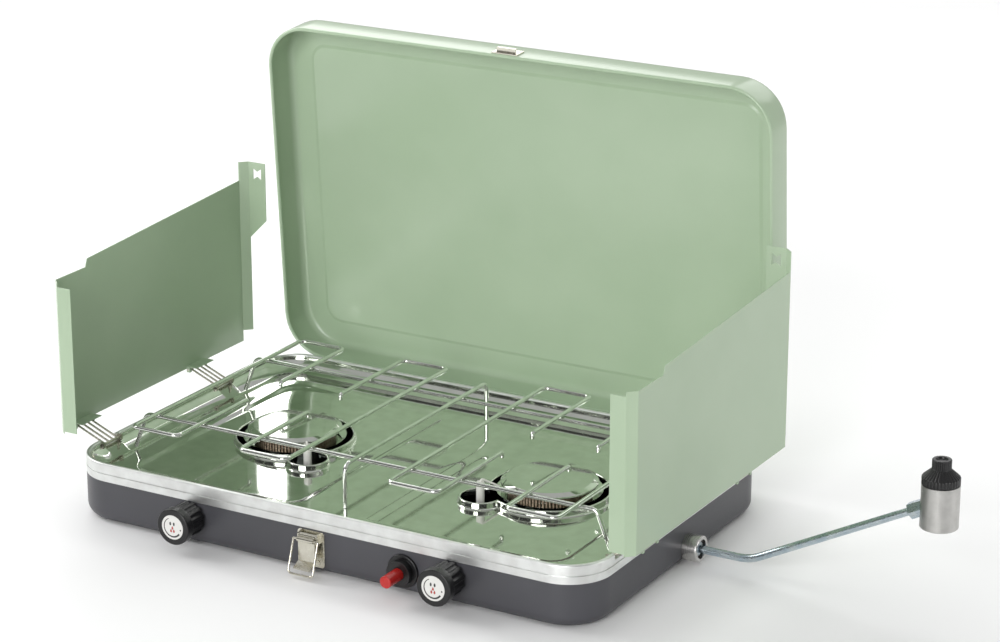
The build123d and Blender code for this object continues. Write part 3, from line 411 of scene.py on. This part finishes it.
tray = {
    "halfX": 265.0, "halfY": 170.5, "corner": 40.0, "lip": (4.1, 55.6), "wallTop": (5.1, 52.0),
    "floorInset": 17.0, "floor": 43.0, "wellDepth": 2.2, "grid": 3.0, "sheet": 0.8,
    "wells": [(-223.0, -40.0, 0), (24.0, 223.0, 1)],    # from x, to x, and whether its inner slope is long
    "wellY": (-139.0, 125.0), "wellCorner": 22.0, "slope": 7.0, "longSlope": 15.0,
    "wellRun": 60.0,                     # how far a long slope's well is drawn past its edge
    "slots": (-113.0, 65.0), "slotHalf": 11.3, "slotFloor": 51.0, "slotReach": 12.0, "cut": 0.05,
    "wallRounds": (0.4, 2.0), "netWeld": 1e-5, "smooth": 50,
}
keyhole = {
    "x": 134.5, "radius": 53.0, "smallX": 90.5, "smallY": -46.0, "smallRadius": 17.0,
    "foot": 5.0, "wall": 2.8, "top": 47.0, "inner": 0.3, "bottom": 41.4, "rounds": (1.8, 1.2, 1.2),
}


def roundBox(x, y, low, high, radius):
    # distance outside a rounded rectangle, less than nothing inside it
    middle = [(a + b) / 2 for a, b in zip(low, high)]
    qx = np.abs(x - middle[0]) - (high[0] - low[0]) / 2 + radius
    qy = np.abs(y - middle[1]) - (high[1] - low[1]) / 2 + radius
    return np.hypot(np.maximum(qx, 0), np.maximum(qy, 0)) + np.minimum(np.maximum(qx, qy), 0) - radius


def trayFloor(x, y, v):
    # the floor sinks by a smooth step over the slope inside each well's edge
    sink = np.zeros_like(x)
    for start, end, isLong in v["wells"]:
        first = start - v["wellRun"] * isLong
        inside = -roundBox(x, y, (first, v["wellY"][0]), (end, v["wellY"][1]), v["wellCorner"]) / v["slope"]
        if isLong:
            inside = np.minimum(inside, (x - start) / v["longSlope"])
        part = np.clip(inside, 0, 1)
        sink = np.maximum(sink, part * part * (3 - 2 * part))
    return v["floor"] - v["wellDepth"] * sink


def keyholeRing(side, out, v):
    # the outside of two circles that cross, each grown by out: the law of cosines gives where they meet
    centre = np.array([side * v["x"], 0.0])
    small = np.array([side * v["smallX"], v["smallY"]])
    gap = np.linalg.norm(small - centre)
    ahead = np.arctan2(*(small - centre)[::-1])
    big, little = v["radius"] + out, v["smallRadius"] + out
    a = np.arccos((big ** 2 + gap ** 2 - little ** 2) / (2 * big * gap))
    b = np.arccos((little ** 2 + gap ** 2 - big ** 2) / (2 * little * gap))
    main = np.linspace(ahead + a, ahead + 2 * pi - a, 97)
    rest = np.linspace(ahead + pi + b, ahead + 3 * pi - b, 33)[1:-1]
    return np.concatenate([
        centre + big * np.stack([np.cos(main), np.sin(main)], -1),
        small + little * np.stack([np.cos(rest), np.sin(rest)], -1),
    ])


def trayMesh(v, hole):
    ends = [way * (v["slotHalf"] + e) for way in (-1, 1) for e in (-v["cut"], v["cut"])]
    marks = np.array([y + end for y in v["slots"] for end in ends])
    corners = [v["lip"], (v["wallTop"][0], v["lip"][1]), v["wallTop"], (v["floorInset"], v["floor"])]
    profile = filleted(corners, v["wallRounds"])
    wall = pressedRings(profile, v["halfX"], v["halfY"], v["corner"], marks)
    inSlot = np.min([np.abs(wall[..., 1] - y) for y in v["slots"]], 0) < v["slotHalf"]
    inSlot &= np.abs(wall[..., 0]) > v["halfX"] - v["slotReach"]
    wall[..., 2] = np.where(inSlot, np.minimum(wall[..., 2], v["slotFloor"]), wall[..., 2])
    points, faces = [wall.reshape(-1, 3)], gridFaces(*wall.shape[:2])
    edges = [wall[-1, :, :2]]
    for side in (-1, 1):
        outline = keyholeRing(side, hole["foot"], hole)
        floorHere = trayFloor(outline[:, 0], outline[:, 1], v).min()
        section = filleted([
            (hole["foot"], floorHere), (hole["wall"], floorHere), (hole["wall"], hole["top"]),
            (hole["inner"], hole["top"]), (hole["inner"], hole["bottom"])], hole["rounds"])
        level = np.ones(len(outline))
        turns = [np.column_stack([keyholeRing(side, e, hole), z * level]) for e, z in section]
        collar = np.stack(turns)
        faces += gridFaces(*collar.shape[:2], first=sum(len(p) for p in points))
        points.append(collar.reshape(-1, 3))
        edges.append(outline)
    inner = v["halfX"] - v["floorInset"], v["halfY"] - v["floorInset"]
    corner = v["corner"] - v["floorInset"]
    gx, gy = np.meshgrid(*[np.arange(-half, half, v["grid"]) for half in inner])
    loose = np.column_stack([gx.ravel(), gy.ravel()])

    def onFloor(xy, margin):
        # inside the walls and outside both keyholes, by a margin
        inWalls = roundBox(xy[:, 0], xy[:, 1], [-h for h in inner], inner, corner) < -margin
        for side in (-1, 1):
            main = np.hypot(xy[:, 0] - side * hole["x"], xy[:, 1]) - hole["radius"]
            away = xy - (side * hole["smallX"], hole["smallY"])
            small = np.hypot(away[:, 0], away[:, 1]) - hole["smallRadius"]
            inWalls &= np.minimum(main, small) > hole["foot"] + margin
        return inWalls

    loose = loose[onFloor(loose, v["grid"] / 2)]
    start, links = 0, []
    for edge in edges:
        links += [(start + n, start + (n + 1) % len(edge)) for n in range(len(edge))]
        start += len(edge)
    flat = np.concatenate(edges + [loose])
    net = delaunay_2d_cdt([Vector(p) for p in flat.tolist()], links, [], 0, v["netWeld"])
    spots = np.array([tuple(p) for p in net[0]])
    triangles = np.array(net[2])
    triangles = triangles[onFloor(spots[triangles].mean(1), 0.0)]
    base = sum(len(p) for p in points)
    points.append(np.column_stack([spots, trayFloor(spots[:, 0], spots[:, 1], v)]))
    return np.concatenate(points), faces + (triangles + base).tolist()


trayPoints, trayFaces = trayMesh(tray, keyhole)
pan = makePiece("trayPressing", trayPoints, trayFaces, materials["polished_steel"], tray["smooth"])
sheetWall = pan.modifiers.new("sheetWall", "SOLIDIFY")
sheetWall.thickness = tray["sheet"] * mm
sheetWall.offset = -1.0
standIn(pan, "drip_tray")
print("stage: drip tray")


# burners: a flat cap with a bevelled rim over a band of fine ports

burner = {
    "x": 134.5, "flat": 38.5, "rim": 43.5, "top": 57.0, "rimTop": 54.5, "rimLow": 52.6, "under": 37.0,
    "sheet": 1.5, "rounds": (1.0, 0.8, 0.6, 0.3, 0.5),
    "bandRadius": 37.1, "bandLow": 46.6, "bandTop": 52.5, "bandInner": 36.0, "ribs": 72, "rib": 0.5,
    "bandSteps": 432, "smooth": 30, "bandSmooth": 60,
}


def burnerCap(v):
    # turned from the middle of the top, over a soft edge and a bevel, and back to the middle underneath
    inside = v["top"] - v["sheet"]
    return filleted([
        (0, v["top"]), (v["flat"], v["top"]), (v["rim"], v["rimTop"]), (v["rim"], v["rimLow"]),
        (v["under"], v["rimLow"]), (v["under"], inside), (0, inside)], v["rounds"])


heatedSteel = plated("heatedSteel", ("#5a4c42", "#75685c"), (0.3, 0.45), 0.004, 0.004, (1.0, 1.0, 8.0), 3.0)
for side, name in ((-1, "left"), (1, "right")):
    rings = turnedRings(burnerCap(burner), (side * burner["x"], 0))
    faces = gridFaces(*rings.shape[:2])
    crown = makePiece(name + "CapPressing", rings, faces, materials["polished_steel"], burner["smooth"])
    standIn(crown, name + "_burner_cap")
    band = [(burner["bandInner"], burner["bandLow"]), (burner["bandRadius"], burner["bandLow"]),
            (burner["bandRadius"], burner["bandTop"]), (burner["bandInner"], burner["bandTop"]),
            (burner["bandInner"], burner["bandLow"])]
    swell = [0, burner["rib"], burner["rib"], 0, 0]
    rings = turnedRings(band, (side * burner["x"], 0), burner["bandSteps"], burner["ribs"], swell)
    faces = gridFaces(*rings.shape[:2])
    ports = makePiece(name + "PortBand", rings, faces, heatedSteel, burner["bandSmooth"])
    addDetail(ports, "base")
print("stage: burners")


# knob dials: a tapering arc, a stop dot and a small flame, printed in dark grey and red

dial = {
    "arcRadius": 8.6, "arcStart": 115.0, "arcEnd": 325.0, "arcThin": 0.6, "arcThick": 1.6,
    "dotAt": -8.0, "dot": 0.75, "ticks": ((-2.1, 3.3), (1.7, 3.3)), "tick": (0.95, 1.7),
    "flame": ((0.0, -0.6), (-1.5, -3.4), (1.5, -3.4)), "flameSize": 1.35, "print": 0.05, "sunk": 0.01,
}
ink = moulded("dialInk", "#2c2b2b", 0.4, 0.002, 0.7, IOR=1.5)
redInk = moulded("dialRedInk", "#a8342e", 0.4, 0.002, 0.7, IOR=1.5)


def flatMarks(name, shapes, centre, material, v):
    # each outline becomes a thin slab on the dial's face
    points, faces = [], []
    for shape in shapes:
        first, count = sum(len(p) for p in points), len(shape)
        for depth in (0.0, -v["print"]):
            y = np.full(count, centre[1] + v["sunk"] + depth)
            points.append(np.column_stack([centre[0] + shape[:, 0], y, centre[2] + shape[:, 1]]))
        faces += gridFaces(2, count, first)
        faces += [list(range(first, first + count)), list(range(first + count, first + 2 * count))]
    return makePiece(name, np.concatenate(points), faces, material)


def ellipse(cx, cz, rx, rz, count=20):
    a = np.linspace(0, 2 * pi, count, endpoint=False)
    return np.column_stack([cx + rx * np.cos(a), cz + rz * np.sin(a)])


def drop(cx, cz, size):
    # a flame's outline: a circle whose top is drawn up to a point
    a = np.linspace(0, 2 * pi, 24, endpoint=False)
    lift = np.maximum(np.sin(a), 0) ** 3
    narrow = 0.7 * (1 - 0.7 * lift)
    return np.column_stack([cx + size * narrow * np.cos(a), cz + size * (np.sin(a) + 0.5 * lift)])


for name in ("left", "right"):
    low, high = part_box(name + "_knob_dial")
    centre = ((low.x + high.x) / 2 / mm, low.y / mm, (low.z + high.z) / 2 / mm)
    sweep = np.radians(np.linspace(dial["arcStart"], dial["arcEnd"], 60))
    width = np.linspace(dial["arcThin"], dial["arcThick"], 60)
    arc = np.concatenate([
        np.column_stack([np.cos(sweep), np.sin(sweep)]) * (dial["arcRadius"] + width / 2)[:, None],
        (np.column_stack([np.cos(sweep), np.sin(sweep)]) * (dial["arcRadius"] - width / 2)[:, None])[::-1],
    ])
    spot = np.radians(dial["dotAt"])
    dotPlace = dial["arcRadius"] * np.cos(spot), dial["arcRadius"] * np.sin(spot)
    dark = [arc, ellipse(*dotPlace, dial["dot"], dial["dot"])]
    dark += [ellipse(x, z, *dial["tick"]) for x, z in dial["ticks"]]
    addDetail(flatMarks(name + "DialMarks", dark, centre, ink, dial), name + "_knob")
    flames = [drop(x, z, dial["flameSize"]) for x, z in dial["flame"]]
    addDetail(flatMarks(name + "DialFlame", flames, centre, redInk, dial), name + "_knob")
print("stage: dials")


# regulator cap: a ribbed skirt, a cone, and a fluted knob with a sunk top

cap = {
    "x": 495.0, "y": 11.0, "bottom": 118.0, "skirt": 15.6, "skirtTop": 124.5, "cone": 8.6, "coneTop": 130.6,
    "knob": 7.6, "knobTop": 140.0, "sunk": 138.2, "sunkRadius": 5.2, "ribs": 30, "rib": 0.6,
    "ribInset": 0.9, "ribRise": 0.3, "segments": 180, "smooth": 40,
}


def capProfile(v):
    return filleted([
        (0, v["bottom"]), (v["skirt"], v["bottom"]), (v["skirt"], v["skirtTop"]), (v["cone"], v["coneTop"]),
        (v["knob"], v["coneTop"] + 0.8), (v["knob"], v["knobTop"]), (v["sunkRadius"], v["knobTop"]),
        (v["sunkRadius"] - 0.6, v["sunk"]), (0, v["sunk"])], [0.5, 1.2, 0.8, 0.3, 0.8, 0.4, 0.4], 4)


outline = capProfile(cap)
isRibbed = outline[:, 0] > cap["knob"] - cap["ribInset"]
isRibbed &= outline[:, 1] > cap["bottom"] + cap["ribRise"]
ribbed = np.where(isRibbed, cap["rib"], 0.0)
rings = turnedRings(outline, (cap["x"], cap["y"]), cap["segments"], cap["ribs"], ribbed)
faces = gridFaces(*rings.shape[:2])
capPiece = makePiece("regulatorCapMoulding", rings, faces, materials["black_plastic"], cap["smooth"])
standIn(capPiece, "regulator_cap")
print("stage: regulator cap")

detailed = {"lid_shell", "drip_tray", "left_burner_cap", "right_burner_cap", "regulator_cap"}
for name in sorted(set(nodes) - detailed):
    softened(name, brokenEdges.get(name, brokenEdges["others"]))
print("stage: softened CAD pieces")

floorMesh = bpy.data.meshes.new("studioFloor")
half = studio["floorHalf"]
corners = [(-half, -half, 0), (half, -half, 0), (half, half, 0), (-half, half, 0)]
floorMesh.from_pydata(corners, [], [(0, 1, 2, 3)])
floor = bpy.data.objects.new("studioFloor", floorMesh)
floorMesh.materials.append(startMaterial("studioPaper", studio["floorColour"], 0.0, 0.6)[0])
bpy.context.scene.collection.objects.link(floor)

world = bpy.data.worlds.new("studioSurround")
world.use_nodes = True
skyTree = world.node_tree
view = addNode(skyTree, "TexCoord").outputs["Generated"]
rearward = addNode(skyTree, "VectorMath", {"operation": "DOT_PRODUCT"}, i0=view, i1=studio["skyWay"])
low, high = studio["skyEdge"]
glow = addNode(skyTree, "MapRange", {"interpolation_type": "SMOOTHSTEP"}, i0=rearward.outputs["Value"],
               i1=low, i2=high, i3=studio["skyFront"], i4=studio["sky"]).outputs[0]
skyTree.nodes["Background"].inputs["Color"].default_value = (1.0, 1.0, 1.0, 1.0)
skyTree.links.new(glow, skyTree.nodes["Background"].inputs["Strength"])
bpy.context.scene.world = world
for kind, rows in (("SUN", studio["suns"]), ("AREA", studio["lamps"])):
    for lampName, place, softness, power in rows:
        lamp = bpy.data.lights.new(lampName, kind)
        lamp.energy = power
        setattr(lamp, "angle" if kind == "SUN" else "size", softness)
        stand = bpy.data.objects.new(lampName, lamp)
        stand.location = place
        stand.rotation_euler = (Vector(studio["aim"]) - Vector(place)).to_track_quat("-Z", "Y").to_euler()
        bpy.context.scene.collection.objects.link(stand)
print("stage: studio")
